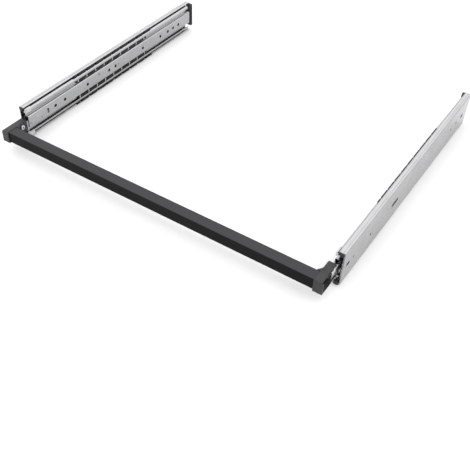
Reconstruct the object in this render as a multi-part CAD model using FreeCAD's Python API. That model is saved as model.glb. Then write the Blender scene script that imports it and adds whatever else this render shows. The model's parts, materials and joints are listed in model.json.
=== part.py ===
"""Pair of full-extension ball-bearing drawer slides with front locks and one release bar.

Millimetres. X runs across the cabinet, Y to the back and Z up. The origin is midway between
the cabinet walls, at the front end of the cabinet members and at the slides' mid-height.
Every piece is drawn for the left slide, where u is the distance from the cabinet wall
towards the drawer, and then mirrored to the right.
"""

import FreeCAD, Part

import math
import os

from FreeCAD import Vector

# ---------------------------------------------------------------- driving dimensions
LENGTH = 600.0            # closed length of the cabinet members
CLEAR_WIDTH = 768.0       # between the cabinet walls
TRAVEL = 600.0            # full extension of the drawer members
SHEET = 2.0               # steel thickness of the three members
BALL_R = 2.5
BALL_PITCH = 15.0
POCKET_R = 2.75           # ball pocket in a cage
TICK_PITCH = 30.0         # windows along a cage's visible rib
TICK_WIDTH = 5.0

# Centre lines of the members' upper halves, web to lip: (u, z, bend radius).
CABINET_HALF = [(1.0, 38.24, 2.2), (6.0, 36.0, 2.0), (9.5, 37.47, 3.6), (11.9, 36.4, 0)]
INTERMEDIATE_HALF = [(4.0, 30.6, 2.2), (9.5, 29.9, 3.6), (12.6, 30.4, 1.6), (16.4, 28.0, 1.6),
                     (16.4, 25.4, 0)]
DRAWER_HALF = [(18.1, 14.0, 2.4), (11.8, 14.0, 1.8), (11.8, 23.1, 1.6), (9.0, 22.72, 3.6),
               (6.9, 23.0, 0)]
OUTER_BALL = (9.5, 33.565)    # u, z of the outer ball rows
INNER_BALL = (9.0, 26.35)

INTERMEDIATE_Y = (6.0, 590.0)
DRAWER_Y = (4.5, 585.0)
OUTER_CAGE_Y = (156.0, 436.0)
INNER_CAGE_Y = (160.0, 415.0)

# Round web holes: (y, z, radius).
DRAWER_HOLES = [(85.8, 0, 3.7), (116.4, 0, 3.7), (192.6, 0, 3.7), (233.0, 6.8, 2.0),
                (268.8, 0, 3.7), (292.2, 0, 3.7), (303.0, 0, 1.6), (397.2, 0, 3.7),
                (468.6, 0, 3.7), (499.8, 0, 3.7), (522.3, 0, 3.7), (544.8, 0, 3.7)]
CABINET_HOLES = [(41.0, 0, 2.6), (109.0, 0, 3.2), (502.0, 0, 3.2), (533.0, 0, 3.2)]
# Web slots along Y: (first end, last end, half height).
CABINET_SLOTS = [(13.0, 27.0, 3.3), (202.0, 230.0, 3.8), (559.0, 573.0, 3.3)]
ACCESS_HOLE_R = 5.0       # screwdriver holes in the intermediate web

# Lock: pivots and pins are (y, z).
LEVER_PIVOT = (42.6, -5.2)
GUIDE_PIN = (9.6, -3.7)
LATCH_PIVOT = (62.4, -2.5)
RELEASE_PIN = (14.0, -0.5)
RELEASE_ANGLE = 7.0       # degrees that the bar lifts about the lever pivots
LEVER_U = (13.6, 16.6)
LATCH_U = (7.1, 10.4)
KEEPER_Y = 27.0           # front face of the keeper tab
KEEPER_HALF_HEIGHT = 3.2
KEEPER_REACH = 6.3
KEEPER_WINDOW = (14.0, KEEPER_Y + TRAVEL / 2 + 15.0, 5.0)   # a slot, as above

LEVER_SHOULDER_R = 3.0
PIN_SHANK_R = 2.0         # shanks of the pins set in the drawer web
FLARE_R = 2.9             # their countersunk ends
SPRING_UY = (14.8, 20.0)  # axis of the lever spring
SPRING_Z = (4.9, 12.6)
SPRING_R = 1.5
SPRING_TURNS = 5
WIRE_R = 0.35

# Stops, as spans along Y or Z, and the rivet's (y, z).
BUMPER_Y = (1.0, 16.0)
REAR_STOP_Z = (-27.0, 33.0)
REAR_PLATE_Y = (602.4, 606.0)
REAR_RIVET = (588.0, 0.0)
REAR_RIVET_R = 2.0
CORNER_CUT = 3.0          # lower back corner of the cabinet member

# End brackets and release bar.
BRACKET_U = (6.5, 25.0)
BRACKET_Y = (-62.0, -7.0)
BRACKET_Z = (-12.5, 15.0)
BRACKET_FRONT_WALL = 5.0
BRACKET_ROOF = 2.4
BRACKET_FLOOR = 1.5
ROOF_EDGE_U = 9.8         # the roof stops short of the open side
REAR_FLOOR = (-26.0, -8.0)  # the floor steps up to this z behind this y
GUSSET = (31.5, -26.3)    # its farthest u along the bar and its farthest y along the bracket
BAR_Y = (-59.5, -36.0)
BAR_Z = (-10.5, 14.0)
BAR_WALL = 1.5
BAR_CORNER = 1.6
SPIGOT_LENGTH = 26.0
BRACKET_SCREW = (-21.0, 5.0)
BRACKET_SCREW_R = 2.5
BAR_SCREW_U = 38.0

HALF_WIDTH = CLEAR_WIDTH / 2
LOOSE = 0.05              # radial clearance of pins in their holes


# ---------------------------------------------------------------- drawing helpers
def at(u, y, z):
    """The point at distance u from the left cabinet wall."""
    return Vector(u - HALF_WIDTH, y, z)


def box(u0, u1, y0, y1, z0, z1):
    return Part.makeBox(u1 - u0, y1 - y0, z1 - z0, at(u0, y0, z0))


def rod(centre, radius, u0, u1):
    """A cylinder along u about (y, z)."""
    return Part.makeCylinder(radius, u1 - u0, at(u0, *centre), Vector(1, 0, 0))


def upright(u, y, radius, z0, z1):
    """A cylinder along Z."""
    return Part.makeCylinder(radius, z1 - z0, at(u, y, z0), Vector(0, 0, 1))


def plate(outline, u0, u1):
    """A flat plate with an outline of (y, z) corners."""
    wire = Part.makePolygon([at(u0, y, z) for y, z in outline + outline[:1]])
    return Part.Face(wire).extrude(Vector(u1 - u0, 0, 0))


def stadium(first, last, radius, u0, u1):
    """A slot-shaped prism along u between two (y, z) centres."""
    (y0, z0), (y1, z1) = first, last
    along = Vector(0, y1 - y0, z1 - z0).normalize()
    side = Vector(0, -along.z, along.y) * radius
    a, b = at(u0, y0, z0), at(u0, y1, z1)
    edges = [Part.makeLine(a + side, b + side),
             Part.Arc(b + side, b + along * radius, b - side).toShape(),
             Part.makeLine(b - side, a - side),
             Part.Arc(a - side, a - along * radius, a + side).toShape()]
    return Part.Face(Part.Wire(edges)).extrude(Vector(u1 - u0, 0, 0))


def web_slot(slot, u0, u1):
    """A slot along Y at mid-height."""
    first, last, half_height = slot
    return stadium((first + half_height, 0), (last - half_height, 0), half_height, u0, u1)


def other_half(shape):
    return shape.mirror(Vector(0, 0, 0), Vector(0, 0, 1))


def top_and_bottom(shape):
    """The piece and its copy below mid-height, as a group of two solids."""
    return Part.makeCompound([shape, other_half(shape)])


def rounded(shape, radius, keep):
    """Rounds the edges whose centre point passes the test keep."""
    return shape.makeFillet(radius, [e for e in shape.Edges if keep(e.CenterOfMass)])


def left_of(direction):
    return Vector(-direction.y, direction.x, 0)


def sheet_side(path, shift, y):
    """One side of a bent sheet's section, shift to the left of its centre line."""
    corners = [Vector(u, z, 0) for u, z, _ in path]
    runs = [(b - a).normalize() for a, b in zip(corners, corners[1:])]
    first_end = start = corners[0] + left_of(runs[0]) * shift
    edges = []
    for corner, (_, _, radius), before, after in zip(corners[1:], path[1:], runs, runs[1:]):
        half_turn = before.getAngle(after) / 2
        turns_left = 1 if before.cross(after).z > 0 else -1
        tangent = radius * math.tan(half_turn)
        inward = (after - before).normalize()
        centre = corner + inward * (radius / math.cos(half_turn))
        first = corner - before * tangent + left_of(before) * shift
        middle = centre - inward * (radius - turns_left * shift)
        last = corner + after * tangent + left_of(after) * shift
        edges.append(Part.makeLine(at(start.x, y, start.y), at(first.x, y, first.y)))
        edges.append(Part.Arc(*[at(p.x, y, p.y) for p in (first, middle, last)]).toShape())
        start = last
    last_end = corners[-1] + left_of(runs[-1]) * shift
    edges.append(Part.makeLine(at(start.x, y, start.y), at(last_end.x, y, last_end.y)))
    return edges, (first_end, last_end), runs


def bent_sheet(half, y0, y1):
    """A roll-formed member: the half section and its mirror image, extruded along Y."""
    path = [(u, -z, r) for u, z, r in reversed(half)] + half
    left, (left_start, left_end), runs = sheet_side(path, SHEET / 2, y0)
    right, (right_start, right_end), _ = sheet_side(path, -SHEET / 2, y0)
    caps = []
    for a, b, outward in ((left_start, right_start, runs[0] * -1), (left_end, right_end, runs[-1])):
        tip = (a + b) * 0.5 + outward * (SHEET / 2)
        caps.append(Part.Arc(*[at(p.x, y0, p.y) for p in (a, tip, b)]).toShape())
    wire = Part.Wire(Part.__sortEdges__(left + right + caps))
    return Part.Face(wire).extrude(Vector(0, y1 - y0, 0))


# ---------------------------------------------------------------- members
def cabinet_member():
    """Outer C rail with web holes and the lanced keeper tab that the latch hooks behind."""
    member = bent_sheet(CABINET_HALF, 0, LENGTH)
    tools = [rod((y, z), r, -1, 3) for y, z, r in CABINET_HOLES]
    tools += [web_slot(slot, -1, 3) for slot in CABINET_SLOTS]
    tools.append(rod(REAR_RIVET, REAR_RIVET_R + LOOSE, -1, 3))
    tools.append(box(-1, 3, LENGTH - CORNER_CUT, LENGTH + 1, -45, CORNER_CUT - 38.0))
    keeper = box(1.0, KEEPER_REACH, KEEPER_Y, KEEPER_Y + SHEET,
                 -KEEPER_HALF_HEIGHT, KEEPER_HALF_HEIGHT)
    keeper = rounded(keeper, 1.0, lambda c: c.x > KEEPER_REACH - HALF_WIDTH - 0.1
                     and abs(c.z) > KEEPER_HALF_HEIGHT - 0.1)
    return member.cut(tools).fuse(keeper).removeSplitter()


def intermediate_member():
    """Middle rail with a long window that lets the keeper pass, and notched front lips."""
    member = bent_sheet(INTERMEDIATE_HALF, *INTERMEDIATE_Y)
    tools = [web_slot(KEEPER_WINDOW, 2, 6)]
    tools += [rod((y, z), ACCESS_HOLE_R, 2, 6) for y, z, _ in CABINET_HOLES[2:]]
    notch = box(13.0, 19.0, 0, BUMPER_Y[1] + 0.2, 23.0, 34.0)
    tools += [notch, other_half(notch)]
    tools.append(box(2, 6, 580.0, 600.0, -14.0, 14.0))
    tongue = box(3.0, 5.0, -8.0, INTERMEDIATE_Y[0] + 1, -2.0, 6.0)
    return member.cut(tools).fuse(tongue).removeSplitter()


def drawer_member():
    """Inner rail: a flat web for the drawer, stepped back to a ball race above and below."""
    member = bent_sheet(DRAWER_HALF, *DRAWER_Y)
    tools = [rod((y, z), r, 16, 20) for y, z, r in DRAWER_HOLES]
    tools.append(stadium((LATCH_PIVOT[0], -3.4), (LATCH_PIVOT[0], 2.8), 2.9, 16, 20))
    for pin in (LEVER_PIVOT, GUIDE_PIN):
        tools += [rod(pin, PIN_SHANK_R + LOOSE, 16, 18.5), flare(pin, LOOSE),
                  rod(pin, FLARE_R + LOOSE, 19.0, 20)]
    return member.cut(tools)


# ---------------------------------------------------------------- balls and cages
def ball_places(cage_y):
    count = int((cage_y[1] - cage_y[0]) // BALL_PITCH)
    first = (cage_y[0] + cage_y[1] - (count - 1) * BALL_PITCH) / 2
    return [first + i * BALL_PITCH for i in range(count)]


def balls(row, cage_y):
    u, z = row
    spheres = [Part.makeSphere(BALL_R, at(u, y, side * z))
               for side in (1, -1) for y in ball_places(cage_y)]
    return Part.makeCompound(spheres)


def cage(strips, row, cage_y, tick_u):
    """Two retainer strips: each is a fused set of bars with ball pockets and rib windows."""
    first, *others = [box(u0, u1, *cage_y, z0, z1) for u0, u1, z0, z1 in strips]
    bars = first.fuse(others).removeSplitter()
    low = min(strip[2] for strip in strips) - 1
    high = max(strip[3] for strip in strips) + 1
    places = ball_places(cage_y)
    tools = [upright(row[0], y, POCKET_R, row[1] - 4, row[1] + 4) for y in places]
    step = int(TICK_PITCH / BALL_PITCH)
    for y in places[::step]:
        tools.append(box(*tick_u, y - TICK_WIDTH / 2, y + TICK_WIDTH / 2, low, high))
    return top_and_bottom(bars.cut(tools))


def outer_cage():
    strips = [(4.4, 15.2, 31.9, 34.6), (13.1, 15.2, 31.6, 37.0), (14.2, 15.2, 30.9, 32.0)]
    return cage(strips, OUTER_BALL, OUTER_CAGE_Y, (11.5, 18.0))


def inner_cage():
    strips = [(6.2, 14.5, 24.8, 27.6), (13.1, 14.5, 17.6, 27.6), (13.1, 15.9, 17.6, 23.2)]
    return cage(strips, INNER_BALL, INNER_CAGE_Y, (14.5, 17.0))


# ---------------------------------------------------------------- stops and bumpers
def intermediate_bumpers():
    """Light plastic blocks that face the front of the intermediate member's lips."""
    block = box(15.0, 18.4, *BUMPER_Y, 24.6, 34.2)
    root = box(13.2, 16.0, BUMPER_Y[0], 8.0, 24.6, 31.0)
    front = BUMPER_Y[0]
    shaped = rounded(block.fuse(root).removeSplitter(), 1.2,
                     lambda c: abs(c.y - front) < 0.1 and c.x > 17.0 - HALF_WIDTH)
    return top_and_bottom(shaped)


def front_buffers():
    """Black plugs in the front ends of the outer races."""
    plug = box(4.2, 12.6, -1.0, 4.0, 31.9, 34.7)
    head = rounded(box(3.0, 12.8, -3.0, -0.1, 31.8, 37.6), 1.3,
                   lambda c: abs(c.y + 3.0) < 0.1)
    return top_and_bottom(head.fuse(plug).removeSplitter())


def rear_stop():
    """Dark end plate riveted to the cabinet member's web."""
    front, back = REAR_PLATE_Y
    foot = box(2.0, 5.0, 582.0, back - 1.0, -12.0, 12.0)
    end = box(2.0, 20.5, front, back, *REAR_STOP_Z)
    end = rounded(end, 3.0, lambda c: c.x > 20.4 - HALF_WIDTH and abs(c.z - 3.0) > 29.0)
    return foot.fuse(end).cut(rod(REAR_RIVET, REAR_RIVET_R + LOOSE, 1, 6)).removeSplitter()


def rear_pad():
    """Rubber pad on the end plate that the drawer member's stop meets."""
    pad = box(11.5, 18.5, 595.0, REAR_PLATE_Y[0], -9.0, 9.0)
    return rounded(pad, 1.5, lambda c: abs(c.y - 595.0) < 0.1)


def rear_stop_rivet():
    shank = rod(REAR_RIVET, REAR_RIVET_R, 0.1, 5.5)
    head = rounded(rod(REAR_RIVET, 3.6, 5.0, 6.3), 0.8, lambda c: c.x > 6.2 - HALF_WIDTH)
    return shank.fuse(head).removeSplitter()


def drawer_rear_stop():
    """Grey dimpled end piece behind the drawer member, held by a tongue behind its web."""
    end = box(12.6, 18.9, 585.2, 594.0, -16.0, 16.0)
    end = rounded(end, 2.0, lambda c: abs(c.z) > 15.9 and c.x > 13.0 - HALF_WIDTH)
    tongue = box(14.0, 17.0, 562.0, 586.0, -11.4, 11.4)
    dimples = [rod((589.6, z), 1.0, 17.9, 20) for z in (-11.0, -5.5, 0.0, 5.5, 11.0)]
    return end.fuse(tongue).removeSplitter().cut(dimples)


# ---------------------------------------------------------------- lock
def flare(centre, extra):
    """The countersunk end of a pin in the drawer web, or with extra radius its seat."""
    return Part.makeCone(PIN_SHANK_R + extra, FLARE_R + extra, 1.0, at(18.0, *centre),
                         Vector(1, 0, 0))


def headed_pin(centre, shoulder_r, head_r, head_u):
    """Pin through the drawer web: inner head, shoulder in the lever and a flush outer end."""
    head = rod(centre, head_r, head_u, 13.5)
    head = rounded(head, 0.5, lambda c: c.x < head_u - HALF_WIDTH + 0.1)
    shoulder = rod(centre, shoulder_r, 13.4, 17.05)
    shank = rod(centre, PIN_SHANK_R, 17.0, 18.5)
    return head.fuse([shoulder, shank, flare(centre, 0)]).removeSplitter()


def lever_pivot():
    return headed_pin(LEVER_PIVOT, LEVER_SHOULDER_R, 4.5, 12.2)


def guide_pin():
    return headed_pin(GUIDE_PIN, PIN_SHANK_R, 3.4, 12.5)


def turned(point, pivot, degrees):
    """A (y, z) point turned about a (y, z) pivot, positive lifting the front end."""
    angle = math.radians(-degrees)
    dy, dz = point[0] - pivot[0], point[1] - pivot[1]
    return (pivot[0] + dy * math.cos(angle) - dz * math.sin(angle),
            pivot[1] + dy * math.sin(angle) + dz * math.cos(angle))


def lock_lever():
    """Steel lever from its pivot in the drawer member out into the end bracket."""
    inner, outer = LEVER_U
    outline = [(42.6, 1.8), (24.0, 4.5), (-1.0, 4.5), (-6.0, 11.0), (-28.0, 11.0), (-30.0, 9.0),
               (-30.0, -3.0), (-28.0, -4.9), (-5.5, -4.9), (0.0, -11.8), (20.0, -11.8),
               (42.6, -12.2)]
    lever = plate(outline, inner, outer).fuse(rod(LEVER_PIVOT, 7.0, inner, outer))
    floor = box(7.6, outer, -27.0, -8.0, -4.9, -2.9)
    wall_outline = [(-27.0, -4.9), (-5.0, -4.9), (-5.0, 13.4), (-18.0, 13.4), (-20.0, 11.0),
                    (-27.0, 11.0)]
    lever = lever.fuse([floor, plate(wall_outline, 7.6, 9.6)]).removeSplitter()
    past_end = turned(GUIDE_PIN, LEVER_PIVOT, -(RELEASE_ANGLE + 0.5))
    tools = [rod(LEVER_PIVOT, LEVER_SHOULDER_R + LOOSE, 12, 18),
             stadium(past_end, GUIDE_PIN, PIN_SHANK_R + 0.25, 12, 18),
             rod(RELEASE_PIN, PIN_SHANK_R - 0.5 + LOOSE, 12, 18),
             rod(BRACKET_SCREW, BRACKET_SCREW_R + LOOSE, 12, 18)]
    return lever.cut(tools)


def release_pin():
    """Pin on the lever that pushes the latch up."""
    push = rod(RELEASE_PIN, PIN_SHANK_R, LATCH_U[0] - 0.1, LEVER_U[0] - 0.02)
    stem = rod(RELEASE_PIN, PIN_SHANK_R - 0.5, LEVER_U[0] - 0.1, LEVER_U[1])
    return push.fuse(stem).removeSplitter()


def latch():
    """Black pawl with a nose behind the keeper and a finger at the slide's front."""
    y, z = LATCH_PIVOT
    outline = [(y, z + 5.0), (44.0, 8.5), (24.0, 9.5), (12.0, 14.0), (3.0, 14.0), (1.8, 12.8),
               (1.8, 6.0), (4.5, 2.0), (34.0, 2.0), (y, z - 5.0)]
    arm = plate(outline, *LATCH_U).fuse(rod(LATCH_PIVOT, 5.0, *LATCH_U))
    nose = plate([(30.0, 3.7), (34.5, 3.7), (36.0, 9.0), (30.0, 9.0)], 5.3, LATCH_U[0] + 0.5)
    pawl = arm.fuse(nose).removeSplitter()
    return pawl.cut(rod(LATCH_PIVOT, 2.2 + LOOSE, 6, 12))


def latch_pivot():
    """Thin-headed rivet set in the lower half of the drawer web's key slot."""
    head = rod(LATCH_PIVOT, 3.6, 6.7, LATCH_U[0] - LOOSE)
    shank = rod(LATCH_PIVOT, 2.2, 6.8, 17.6)
    collar = rod(LATCH_PIVOT, 3.4, 10.6, 17.05)
    return head.fuse([shank, collar]).removeSplitter()


def lever_spring():
    """Compression spring between the lever's top edge and the drawer member's upper wall."""
    bottom = SPRING_Z[0] + WIRE_R
    height = SPRING_Z[1] - SPRING_Z[0] - 2 * WIRE_R
    helix = Part.makeHelix(height / SPRING_TURNS, height, SPRING_R)
    section = Part.Wire(Part.makeCircle(WIRE_R, Vector(SPRING_R, 0, 0), Vector(0, 1, 0)))
    coil = Part.Wire(helix).makePipeShell([section], True, True)
    coil.translate(at(*SPRING_UY, bottom))
    return coil


# ---------------------------------------------------------------- bracket and bar
def end_bracket():
    """Moulded bracket: open outer channel for the lever, gusset and spigot for the bar."""
    u0, u1 = BRACKET_U
    y0, y1 = BRACKET_Y
    z0, z1 = BRACKET_Z
    step_y, step_z = REAR_FLOOR
    gusset_u, gusset_y = GUSSET
    outline = [(y0, z0), (step_y - 4.0, z0), (step_y, step_z), (y1, step_z), (y1, z1), (y0, z1)]
    body = rounded(plate(outline, u0, u1), 1.5, lambda c: abs(c.y - y0) < 0.1)
    inner_u = LEVER_U[1] + 0.05
    channel = plate([(y0 + BRACKET_FRONT_WALL, z0 + BRACKET_FLOOR),
                     (step_y - 3.0, z0 + BRACKET_FLOOR), (step_y + 1.0, step_z + BRACKET_FLOOR),
                     (y1 + 1, step_z + BRACKET_FLOOR), (y1 + 1, z1 - BRACKET_ROOF),
                     (y0 + BRACKET_FRONT_WALL, z1 - BRACKET_ROOF)], u0 - 1, inner_u)
    roof_edge = box(u0 - 1, ROOF_EDGE_U, y0 - 1, y1 + 1, z1 - BRACKET_ROOF - 1, z1 + 1)
    corners = [(u1 - 0.5, gusset_y), (u1, gusset_y), (u1 + 2.4, BAR_Y[1] + 4.6),
               (gusset_u, BAR_Y[1] + 0.1), (u1 - 0.5, BAR_Y[1] + 0.1)]
    foot = z0 + 2.0
    base = Part.makePolygon([at(u, y, foot) for u, y in corners + corners[:1]])
    gusset = Part.Face(base).extrude(Vector(0, 0, z1 - foot))
    gusset = gusset.cut(box(u1 - 1, gusset_u, step_y - 4.0, y1, z0, step_z + 1.0))
    inset = BAR_WALL + 0.2
    spigot = box(u1 - 0.5, u1 + SPIGOT_LENGTH, BAR_Y[0] + inset, BAR_Y[1] - inset,
                 BAR_Z[0] + inset, BAR_Z[1] - inset)
    bracket = body.cut([channel, roof_edge]).fuse([gusset, spigot]).removeSplitter()
    tools = [rod(BRACKET_SCREW, BRACKET_SCREW_R + LOOSE, inner_u - 1, u1 + 1),
             upright(BAR_SCREW_U, sum(BAR_Y) / 2, 1.6, BAR_Z[0], BAR_Z[0] + 11.0)]
    return bracket.cut(tools)


def bracket_screw():
    """Large pan-head screw through the bracket's inner wall into the lever."""
    face_u = BRACKET_U[1] + LOOSE
    head = rounded(rod(BRACKET_SCREW, 5.0, face_u, face_u + 2.8), 1.2,
                   lambda c: c.x > face_u + 2.7 - HALF_WIDTH)
    drive = rod(BRACKET_SCREW, 2.0, face_u + 1.2, face_u + 4.0)
    return head.cut(drive).fuse(rod(BRACKET_SCREW, BRACKET_SCREW_R, 12.6, face_u + 1.0))


def release_bar():
    """Rectangular tube between the two brackets."""
    end = HALF_WIDTH - BRACKET_U[1]
    height = BAR_Z[1] - BAR_Z[0]
    depth = BAR_Y[1] - BAR_Y[0]
    tube = Part.makeBox(2 * end, depth, height, Vector(-end, BAR_Y[0], BAR_Z[0]))
    tube = rounded(tube, BAR_CORNER, lambda c: abs(c.x) < 1.0)
    bore = Part.makeBox(2 * end + 2, depth - 2 * BAR_WALL, height - 2 * BAR_WALL,
                        Vector(-end - 1, BAR_Y[0] + BAR_WALL, BAR_Z[0] + BAR_WALL))
    tube = tube.cut(bore)
    left = upright(BAR_SCREW_U, sum(BAR_Y) / 2, 2.0, BAR_Z[0] - 1, BAR_Z[0] + 3)
    return tube.cut([left, left.mirror(Vector(0, 0, 0), Vector(1, 0, 0))])


def bar_screws():
    """One pan-head screw at each end, up through the bar into the bracket's spigot."""
    y = sum(BAR_Y) / 2
    head = upright(BAR_SCREW_U, y, 3.2, BAR_Z[0] - 2.0, BAR_Z[0] - 0.02)
    head = rounded(head, 0.8, lambda c: c.z < BAR_Z[0] - 1.9)
    drive = upright(BAR_SCREW_U, y, 1.2, BAR_Z[0] - 3.0, BAR_Z[0] - 1.0)
    left = head.cut(drive).fuse(upright(BAR_SCREW_U, y, 1.55, BAR_Z[0] - 0.5, BAR_Z[0] + 10.0))
    return Part.makeCompound([left, left.mirror(Vector(0, 0, 0), Vector(1, 0, 0))])


# ---------------------------------------------------------------- writing the nodes
SIDE_PARTS = {
    "cabinet_member": cabinet_member,
    "front_buffers": front_buffers,
    "rear_stop": rear_stop,
    "rear_pad": rear_pad,
    "rear_stop_rivet": rear_stop_rivet,
    "outer_cage": outer_cage,
    "outer_balls": lambda: balls(OUTER_BALL, OUTER_CAGE_Y),
    "intermediate_member": intermediate_member,
    "intermediate_bumpers": intermediate_bumpers,
    "inner_cage": inner_cage,
    "inner_balls": lambda: balls(INNER_BALL, INNER_CAGE_Y),
    "drawer_member": drawer_member,
    "drawer_rear_stop": drawer_rear_stop,
    "lever_pivot": lever_pivot,
    "guide_pin": guide_pin,
    "latch_pivot": latch_pivot,
    "lever_spring": lever_spring,
    "lock_lever": lock_lever,
    "release_pin": release_pin,
    "latch": latch,
    "end_bracket": end_bracket,
    "bracket_screw": bracket_screw,
}
SHARED_PARTS = {"release_bar": release_bar, "bar_screws": bar_screws}


def save(name, shape):
    shape.exportStep(os.path.join("parts", name + ".step"))


os.makedirs("parts", exist_ok=True)
for part_name, make in SIDE_PARTS.items():
    left_part = make()
    save("left_" + part_name, left_part)
    save("right_" + part_name, left_part.mirror(Vector(0, 0, 0), Vector(1, 0, 0)))
for part_name, make in SHARED_PARTS.items():
    save(part_name, make())
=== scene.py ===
"""Looks of the pair of ball-bearing drawer slides with front locks and a release bar.

Metres, in the CAD model's frame: X across the cabinet, Y to the back, Z up. The CAD model gives
every size and place. This script softens the pieces' edges, winds the lever springs, gives every
piece its finish, and sets up the floor, the sky, the front light and the camera.
"""

import json
import math

import bmesh
import bpy
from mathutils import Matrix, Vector


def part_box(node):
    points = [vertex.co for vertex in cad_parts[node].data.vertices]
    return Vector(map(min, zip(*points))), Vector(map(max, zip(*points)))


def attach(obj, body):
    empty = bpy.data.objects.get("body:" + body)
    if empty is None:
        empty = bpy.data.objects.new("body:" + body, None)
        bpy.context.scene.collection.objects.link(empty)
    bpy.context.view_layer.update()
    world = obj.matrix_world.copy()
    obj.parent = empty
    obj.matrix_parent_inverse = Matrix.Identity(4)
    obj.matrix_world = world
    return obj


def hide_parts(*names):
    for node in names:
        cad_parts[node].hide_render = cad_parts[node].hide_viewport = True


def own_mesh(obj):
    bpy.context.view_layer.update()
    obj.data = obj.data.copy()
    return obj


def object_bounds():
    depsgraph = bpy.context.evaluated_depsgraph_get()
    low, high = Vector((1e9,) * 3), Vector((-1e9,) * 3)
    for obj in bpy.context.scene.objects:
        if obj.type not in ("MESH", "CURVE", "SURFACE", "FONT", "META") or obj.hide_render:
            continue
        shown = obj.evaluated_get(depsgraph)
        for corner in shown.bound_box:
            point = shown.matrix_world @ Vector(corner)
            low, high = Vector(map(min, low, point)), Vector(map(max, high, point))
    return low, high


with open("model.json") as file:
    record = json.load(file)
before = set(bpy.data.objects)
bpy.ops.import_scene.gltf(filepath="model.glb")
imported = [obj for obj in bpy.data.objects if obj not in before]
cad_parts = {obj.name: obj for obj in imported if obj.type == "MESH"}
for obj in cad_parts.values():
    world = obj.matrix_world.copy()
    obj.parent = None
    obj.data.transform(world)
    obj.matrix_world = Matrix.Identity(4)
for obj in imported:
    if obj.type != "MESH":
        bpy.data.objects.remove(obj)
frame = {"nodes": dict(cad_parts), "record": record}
cad_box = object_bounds()
nodes = frame["nodes"]
SLOT_OF = {part["node"]: part["material_slot"] for part in frame["record"]["subparts"]}
BODY_OF = {node: body for body, members in frame["record"]["behaviour"]["bodies"].items()
           for node in members}
SIDES = ("left", "right")

# ---------------------------------------------------------------- pieces
EDGE_SOFTNESS = {         # bevel width of each softened kind of piece
    "end_bracket": 0.0006,
    "lock_lever": 0.0003,
    "latch": 0.0004,
    "rear_stop": 0.0005,
    "rear_pad": 0.0004,
    "front_buffers": 0.0004,
    "drawer_rear_stop": 0.0004,
    "intermediate_bumpers": 0.0004,
    "outer_cage": 0.00025,
    "inner_cage": 0.00025,
}
WELD_GAP = 0.00001
FLAT_ANGLE = math.radians(1.0)       # faces that meet more flatly are merged
SHARP_ANGLE = math.radians(32.0)     # edges that turn more sharply are rounded

SPRING_TURNS = 5.5
SPRING_RADIUS = 0.0015
WIRE_RADIUS = 0.00035
SPRING_STEPS = 28         # points along each turn
WIRE_SIDES = 10

# ---------------------------------------------------------------- finishes
ROLLING_LINES = (900.0, 7.0, 900.0)      # noise scale of the steel's rolling lines, along Y
GRAIN_LINES = (2600.0, 60.0, 2600.0)
WINDOW_START = 0.1685     # Y of the outer cage's first window, 1 mm behind the inner cage's
WINDOW_PITCH = 0.030
WINDOW_HALF = 0.0012      # half the width of the painted glint patch in a window
WINDOW_BLUR = 0.0002
GROOVE_REACH = 0.007      # width of the grooves painted lighter in steel, a painted light, and darker in plastic, a painted shade
GROOVE_OPENNESS = (0.18, 0.72)
CAVITY_REACH = 0.020      # depth of the closed spaces painted dark, a painted shade seen through the holes
CAVITY_OPENNESS = (0.04, 0.25)
CREVICE_REACH = 0.004     # width of the gaps around pins and screws painted dark, a painted shade
# painted light in grooves, and painted shade in closed spaces and in the gaps around pins
GROOVE_PAINTED_LIGHT = (0.60, 0.60, 0.60)
CAVITY_PAINTED_SHADE = (0.02, 0.02, 0.02)
CREVICE_PAINTED_SHADE = (0.05, 0.05, 0.05)
PIT_COLOUR = (0.0, 0.0, 0.0)

# ---------------------------------------------------------------- studio
FLOOR_SIZE = 30.0
FLOOR_GAP = 0.0005        # between the floor and the lowest piece
WALL_TOP = 0.20           # heights in the sky: 0 at the horizon and 1 overhead
BANKS_FOOT = 0.45
WALL_BRIGHTNESS = 1.0
BANKS_BRIGHTNESS = 1.95
OVERHEAD_EXTRA = 0.15
LIGHT_PLACE = (-0.6, -2.2, 0.9)
LIGHT_SIZE = (2.4, 1.0)
LIGHT_POWER = 11
CAMERA_PLACE = (0.664, -0.831, 0.887)
CAMERA_DOWN = 0.763       # radians below level
CAMERA_TURN = 0.616       # radians from the back towards the left
CAMERA_LENS = 54.7        # millimetres
CAMERA_SHIFT = (0.084, -0.0005)


# ---------------------------------------------------------------- node helpers
def new_material(name):
    """A material with an empty Principled shader: returns the material, its tree and the shader."""
    made = bpy.data.materials.new(name)
    made.use_nodes = True
    return made, made.node_tree, made.node_tree.nodes["Principled BSDF"]


def coordinates(tree, kind):
    return tree.nodes.new("ShaderNodeTexCoord").outputs[kind]


def component(tree, vector, axis):
    """One axis of a vector output."""
    split = tree.nodes.new("ShaderNodeSeparateXYZ")
    tree.links.new(vector, split.inputs["Vector"])
    return split.outputs[axis]


def noise(tree, scale, detail=4.0, roughness=0.5, seed=0.0):
    """Noise over the piece's own coordinates, stretched where scale has three values."""
    spread = scale if isinstance(scale, tuple) else (scale, scale, scale)
    mapping = tree.nodes.new("ShaderNodeMapping")
    mapping.inputs["Scale"].default_value = spread
    mapping.inputs["Location"].default_value = (seed, seed * 1.7, seed * 0.6)
    texture = tree.nodes.new("ShaderNodeTexNoise")
    texture.inputs["Scale"].default_value = 1.0
    texture.inputs["Detail"].default_value = detail
    texture.inputs["Roughness"].default_value = roughness
    tree.links.new(coordinates(tree, "Object"), mapping.inputs["Vector"])
    tree.links.new(mapping.outputs["Vector"], texture.inputs["Vector"])
    return texture.outputs["Fac"]


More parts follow.
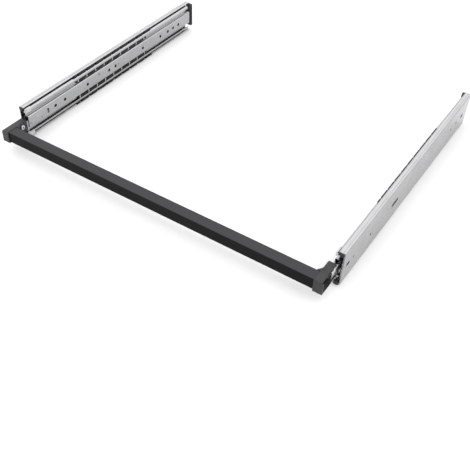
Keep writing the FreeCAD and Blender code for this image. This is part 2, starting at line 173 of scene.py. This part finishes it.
def remap(tree, value, low, high, start=0.3, end=0.7):
    """The value's span from start to end, stretched to low ... high and held outside it."""
    node = tree.nodes.new("ShaderNodeMapRange")
    node.inputs["From Min"].default_value = start
    node.inputs["From Max"].default_value = end
    node.inputs["To Min"].default_value = low
    node.inputs["To Max"].default_value = high
    tree.links.new(value, node.inputs["Value"])
    return node.outputs["Result"]


def combine(tree, operation, first, second):
    """A math node; each input is a number or another node's output."""
    node = tree.nodes.new("ShaderNodeMath")
    node.operation = operation
    for socket, value in zip(node.inputs, (first, second)):
        if isinstance(value, float):
            socket.default_value = value
        else:
            tree.links.new(value, socket)
    return node.outputs["Value"]


def weighted_sum(tree, first, first_weight, second, second_weight):
    return combine(tree, "ADD", combine(tree, "MULTIPLY", first, first_weight),
                   combine(tree, "MULTIPLY", second, second_weight))


def blend_colours(tree, factor, first, second):
    """Mixes two colours; each is three numbers or another node's output."""
    node = tree.nodes.new("ShaderNodeMix")
    node.data_type = "RGBA"
    sockets = [s for s in node.inputs if s.type == "RGBA"]
    for socket, colour in zip(sockets, (first, second)):
        if isinstance(colour, tuple):
            socket.default_value = (*colour, 1.0)
        else:
            tree.links.new(colour, socket)
    tree.links.new(factor, node.inputs["Factor"])
    return [s for s in node.outputs if s.type == "RGBA"][0]


def painted_by_openness(tree, closed, opened, reach, openness=GROOVE_OPENNESS):
    """Painted light and shade: a colour that is closed where surfaces within reach surround a
    point, else opened.
    """
    node = tree.nodes.new("ShaderNodeAmbientOcclusion")
    node.samples = 8
    node.inputs["Distance"].default_value = reach
    factor = remap(tree, node.outputs["AO"], 0.0, 1.0, *openness)
    return blend_colours(tree, factor, closed, opened)


def set_bump(tree, shader, height, depth):
    """Bump of the given depth, in metres, from a height of 0 to 1."""
    node = tree.nodes.new("ShaderNodeBump")
    node.inputs["Strength"].default_value = 1.0
    node.inputs["Distance"].default_value = depth
    tree.links.new(height, node.inputs["Height"])
    tree.links.new(node.outputs["Normal"], shader.inputs["Normal"])


def scaled(colour, share):
    return tuple(share * c for c in colour)


# ---------------------------------------------------------------- finishes
def rolled_steel(name, dark, light, roughness):
    """Zinc-plated sheet: rolling lines along Y and soft clouds in the plating.

    The groove between flanges that face each other is painted lighter, a painted light, and closed
    spaces are painted dark, a painted shade.
    """
    made, tree, shader = new_material(name)
    lines = noise(tree, ROLLING_LINES, 3.0, 0.6)
    grain = noise(tree, GRAIN_LINES, 2.0, 0.6, 7.0)
    clouds = noise(tree, 38.0, 5.0, 0.6, 3.0)
    streaks = weighted_sum(tree, lines, 0.35, grain, 0.25)
    mixed = weighted_sum(tree, streaks, 1.0, clouds, 0.40)
    plating = blend_colours(tree, remap(tree, mixed, 0.0, 1.0), dark, light)
    # painted light in the grooves, then painted shade in the closed spaces
    plating = painted_by_openness(tree, GROOVE_PAINTED_LIGHT, plating, GROOVE_REACH)
    plating = painted_by_openness(tree, CAVITY_PAINTED_SHADE, plating, CAVITY_REACH, CAVITY_OPENNESS)
    tree.links.new(plating, shader.inputs["Base Color"])
    shader.inputs["Metallic"].default_value = 1.0
    tree.links.new(remap(tree, mixed, roughness + 0.08, roughness - 0.06),
                   shader.inputs["Roughness"])
    set_bump(tree, shader, streaks, 0.00002)
    return made


def turned_steel(name, colour, roughness):
    """Plated pins, screws, levers and wire: fine speckle with no direction, with painted shade in
    the gaps around them.
    """
    made, tree, shader = new_material(name)
    speckle = noise(tree, 700.0, 3.0)
    plating = blend_colours(tree, remap(tree, speckle, 0.0, 1.0), scaled(colour, 0.82), colour)
    # painted shade in the gaps around pins and screws
    tree.links.new(painted_by_openness(tree, CREVICE_PAINTED_SHADE, plating, CREVICE_REACH),
                   shader.inputs["Base Color"])
    shader.inputs["Metallic"].default_value = 1.0
    tree.links.new(remap(tree, speckle, roughness - 0.05, roughness + 0.08),
                   shader.inputs["Roughness"])
    set_bump(tree, shader, speckle, 0.00001)
    return made


def moulded_plastic(name, colour, roughness, grain_scale, grain_depth):
    """Moulded plastic: fine spark-eroded grain and faint flow clouds, with painted shade darkening
    its grooves.
    """
    made, tree, shader = new_material(name)
    grain = noise(tree, grain_scale, 2.0)
    clouds = noise(tree, 60.0, 3.0, 0.5, 5.0)
    flow = blend_colours(tree, remap(tree, clouds, 0.0, 1.0), scaled(colour, 0.8),
                         scaled(colour, 1.15))
    # painted shade in the grooves
    tree.links.new(painted_by_openness(tree, scaled(colour, 0.25), flow, GROOVE_REACH),
                   shader.inputs["Base Color"])
    shader.inputs["Specular IOR Level"].default_value = 0.25
    tree.links.new(remap(tree, grain, roughness - 0.06, roughness + 0.06),
                   shader.inputs["Roughness"])
    set_bump(tree, shader, grain, grain_depth)
    return made


def cage_plastic(name, colour, shown):
    """Ball-cage plastic, with a painted glint in the windows at every second ball, standing in for
    the bright steel balls behind.
    """
    made = moulded_plastic(name, colour, 0.55, 1800.0, 0.00003)
    tree = made.node_tree
    base = tree.nodes["Principled BSDF"].inputs["Base Color"]
    plain = base.links[0].from_socket
    along = combine(tree, "SUBTRACT", component(tree, coordinates(tree, "Object"), "Y"),
                    WINDOW_START)
    from_window = combine(tree, "PINGPONG", along, WINDOW_PITCH / 2)
    # painted glint patches in the windows
    glint_patch = remap(tree, from_window, 1.0, 0.0, WINDOW_HALF - WINDOW_BLUR,
                   WINDOW_HALF + WINDOW_BLUR)
    tree.links.new(blend_colours(tree, glint_patch, plain, shown), base)
    return made


def powder_coat(name, sides, top):
    """Fine-texture black powder coat, painted a little lighter on level faces, a painted light from
    overhead.
    """
    made, tree, shader = new_material(name)
    grains = noise(tree, 1500.0, 2.0, 0.4)
    peel = noise(tree, 260.0, 2.0, 0.5, 4.0)
    surface = tree.nodes.new("ShaderNodeNewGeometry")
    upward = component(tree, surface.outputs["Normal"], "Z")
    # painted light: level faces lighter than the sides
    coat_lit_on_top = blend_colours(tree, remap(tree, upward, 0.0, 1.0, 0.4, 0.95), sides, top)
    pitted_with_lit_top = blend_colours(tree, remap(tree, grains, 0.35, 0.0), coat_lit_on_top, PIT_COLOUR)
    tree.links.new(pitted_with_lit_top, shader.inputs["Base Color"])
    shader.inputs["Specular IOR Level"].default_value = 0.06
    tree.links.new(remap(tree, peel, 0.42, 0.56), shader.inputs["Roughness"])
    set_bump(tree, shader, weighted_sum(tree, grains, 0.4, peel, 0.6), 0.00008)
    return made


FINISHES = {slot: finish(slot, *values) for slot, finish, *values in (
    ("zinc_steel", rolled_steel, (0.325, 0.328, 0.332), (0.415, 0.418, 0.423), 0.26),
    ("bright_steel", turned_steel, (0.58, 0.58, 0.59), 0.26),
    ("pin_steel", turned_steel, (0.30, 0.30, 0.31), 0.32),
    ("ball_steel", turned_steel, (0.82, 0.82, 0.84), 0.14),
    ("spring_steel", turned_steel, (0.55, 0.55, 0.57), 0.34),
    ("black_plastic", moulded_plastic, (0.026, 0.026, 0.027), 0.50, 1600.0, 0.00004),
    ("dark_plastic", moulded_plastic, (0.06, 0.06, 0.063), 0.45, 1600.0, 0.00004),
    # the second colour is the painted glint in the windows
    ("cage_plastic", cage_plastic, (0.006, 0.006, 0.006), (0.50, 0.50, 0.51)),
    ("grey_plastic", moulded_plastic, (0.36, 0.36, 0.37), 0.42, 1500.0, 0.00003),
    ("light_plastic", moulded_plastic, (0.46, 0.46, 0.46), 0.40, 1500.0, 0.00003),
    ("rubber", moulded_plastic, (0.022, 0.022, 0.022), 0.75, 900.0, 0.00005),
    # the second colour is the painted light on the level faces
    ("black_paint", powder_coat, (0.006, 0.006, 0.0065), (0.044, 0.044, 0.046)),
)}


def paint(piece, slot):
    piece.data.materials.clear()
    piece.data.materials.append(FINISHES[slot])


# ---------------------------------------------------------------- pieces
def stand_for(piece, node_name):
    """Puts a new piece in a CAD node's place: its body, its slot and its finish."""
    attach(piece, BODY_OF[node_name])
    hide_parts(node_name)
    paint(piece, SLOT_OF[node_name])


def new_piece(name, shape):
    """A smooth-shaded object made from a bmesh, which is freed."""
    mesh = bpy.data.meshes.new(name)
    shape.to_mesh(mesh)
    shape.free()
    for face in mesh.polygons:
        face.use_smooth = True
    piece = bpy.data.objects.new(name, mesh)
    bpy.context.scene.collection.objects.link(piece)
    return piece


def softened(node_name, width):
    """A copy of a CAD piece whose sharp edges are rounded, as moulding and pressing leave them."""
    source = nodes[node_name]
    shape = bmesh.new()
    shape.from_mesh(source.data)
    bmesh.ops.remove_doubles(shape, verts=shape.verts, dist=WELD_GAP)
    bmesh.ops.dissolve_limit(shape, angle_limit=FLAT_ANGLE, verts=shape.verts, edges=shape.edges)
    piece = new_piece(node_name + "_soft", shape)
    piece.matrix_world = source.matrix_world.copy()
    bevel = piece.modifiers.new("edges", "BEVEL")
    bevel.width = width
    bevel.segments = 2
    bevel.limit_method = "ANGLE"
    bevel.angle_limit = SHARP_ANGLE
    bevel.use_clamp_overlap = True
    bevel.harden_normals = True
    stand_for(piece, node_name)


def wire_ring(shape, centre, outward):
    """A ring of the wire's section about a centre, upright along the outward direction."""
    up = Vector((0, 0, 1))
    angles = [2 * math.pi * k / WIRE_SIDES for k in range(WIRE_SIDES)]
    return [shape.verts.new(centre + outward * (WIRE_RADIUS * math.cos(a))
                            + up * (WIRE_RADIUS * math.sin(a))) for a in angles]


def coil(middle, foot, rise):
    """A capped coil of wire about an upright axis, with closed end turns."""
    shape = bmesh.new()
    count = int(SPRING_TURNS * SPRING_STEPS)
    rings = []
    for step in range(count + 1):
        along = step / count
        angle = 2 * math.pi * SPRING_TURNS * along
        outward = Vector((math.cos(angle), math.sin(angle), 0))
        height = foot + rise * along * along * (3 - 2 * along)
        centre = Vector((middle.x, middle.y, height)) + outward * SPRING_RADIUS
        rings.append(wire_ring(shape, centre, outward))
    for first, second in zip(rings, rings[1:]):
        for k in range(WIRE_SIDES):
            after = (k + 1) % WIRE_SIDES
            shape.faces.new((first[k], first[after], second[after], second[k]))
    shape.faces.new(rings[0])
    shape.faces.new(reversed(rings[-1]))
    bmesh.ops.recalc_face_normals(shape, faces=shape.faces)
    return shape


def wind_spring(side):
    """The lever's compression spring."""
    node_name = side + "_lever_spring"
    low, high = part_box(node_name)
    middle = (Vector(low) + Vector(high)) / 2
    rise = high[2] - low[2] - 2 * WIRE_RADIUS
    piece = new_piece(node_name + "_coil", coil(middle, low[2] + WIRE_RADIUS, rise))
    stand_for(piece, node_name)
    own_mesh(piece)


for name, node in nodes.items():
    paint(node, SLOT_OF[name])
for side in SIDES:
    for kind, width in EDGE_SOFTNESS.items():
        softened(f"{side}_{kind}", width)
    wind_spring(side)


# ---------------------------------------------------------------- studio
def make_floor(level):
    """A plain pale floor."""
    bpy.ops.mesh.primitive_plane_add(size=FLOOR_SIZE, location=(0, 0, level))
    floor = bpy.context.object
    floor.name = "studio_floor"
    made, tree, shader = new_material("studio_floor")
    mottle = noise(tree, 3.0, 2.0)
    tree.links.new(blend_colours(tree, mottle, (0.69, 0.69, 0.69), (0.71, 0.71, 0.71)),
                   shader.inputs["Base Color"])
    shader.inputs["Roughness"].default_value = 0.9
    shader.inputs["Specular IOR Level"].default_value = 0.1
    floor.data.materials.append(made)


def make_sky():
    """Plain white sky: pale walls near the horizon and bright ceiling banks overhead."""
    world = bpy.data.worlds.new("studio_sky")
    world.use_nodes = True
    tree = world.node_tree
    background = tree.nodes["Background"]
    background.inputs["Color"].default_value = (1.0, 1.0, 1.0, 1.0)
    height = component(tree, coordinates(tree, "Generated"), "Z")
    walls = remap(tree, height, WALL_BRIGHTNESS, BANKS_BRIGHTNESS, WALL_TOP, BANKS_FOOT)
    overhead = remap(tree, height, 0.0, OVERHEAD_EXTRA, BANKS_FOOT, 1.0)
    tree.links.new(combine(tree, "ADD", walls, overhead), background.inputs["Strength"])
    bpy.context.scene.world = world


def make_front_light():
    """A wide soft light in front, aimed at the middle of the cabinet's front."""
    data = bpy.data.lights.new("front", "AREA")
    data.shape = "RECTANGLE"
    data.size, data.size_y = LIGHT_SIZE
    data.energy = LIGHT_POWER
    lamp = bpy.data.objects.new("front", data)
    lamp.location = LIGHT_PLACE
    lamp.rotation_euler = (-Vector(LIGHT_PLACE)).to_track_quat("-Z", "Y").to_euler()
    bpy.context.scene.collection.objects.link(lamp)


def make_camera():
    data = bpy.data.cameras.new("camera")
    data.lens = CAMERA_LENS
    data.shift_x, data.shift_y = CAMERA_SHIFT
    camera = bpy.data.objects.new("camera", data)
    camera.location = CAMERA_PLACE
    camera.rotation_euler = (math.pi / 2 - CAMERA_DOWN, 0, CAMERA_TURN)
    bpy.context.scene.collection.objects.link(camera)
    bpy.context.scene.camera = camera


make_floor(cad_box[0][2] - FLOOR_GAP)
make_sky()
make_front_light()
make_camera()
bpy.context.scene.view_settings.view_transform = "Standard"
